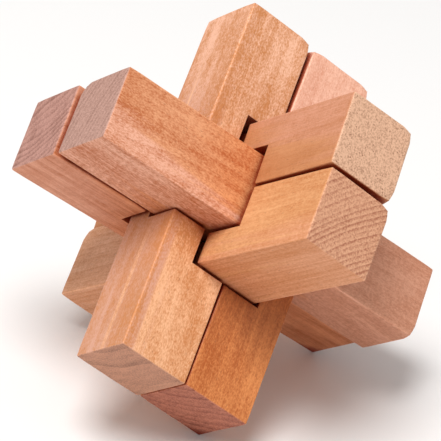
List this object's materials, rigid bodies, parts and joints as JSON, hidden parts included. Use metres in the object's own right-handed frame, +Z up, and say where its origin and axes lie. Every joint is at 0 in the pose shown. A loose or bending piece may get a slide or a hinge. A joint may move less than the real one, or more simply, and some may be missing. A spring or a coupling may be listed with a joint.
{
  "type": "wooden burr puzzle",
  "caption": "Interlocking wooden burr puzzle: square sticks crossing in pairs at right angles, held by hidden notches and freed by a plain sliding key stick.",
  "frame": {"origin": "the middle of the bottom of the puzzle's own box, on the surface it stands on", "axes": "+Z up. The burr stands on three stick corners; +X points to the side where the cross sticks' near ends point, and -Y to the front, where the front upright stick is"},
  "size_m": [0.073, 0.0772, 0.0654],
  "materials": {
    "key_stick": "sanded, satin, unvarnished",
    "key_partner_stick": "sanded, satin, unvarnished",
    "front_upright_stick": "sanded, satin, unvarnished",
    "rear_upright_stick": "sanded, satin, unvarnished",
    "upper_cross_stick": "sanded, satin, unvarnished",
    "lower_cross_stick": "sanded, satin, unvarnished"
  },
  "bodies": {
    "locked_sticks": {"key_partner_stick": "key_partner_stick", "front_upright_stick": "front_upright_stick", "rear_upright_stick": "rear_upright_stick", "upper_cross_stick": "upper_cross_stick", "lower_cross_stick": "lower_cross_stick"},
    "key": {"key_stick": "key_stick"}
  },
  "joints": [
    {"name": "key_slide", "type": "slide", "parent": "locked_sticks", "child": "key", "axis": [-0.7229, -0.4004, 0.5631], "range_m": [-0.0125, 0.085]}
  ]
}
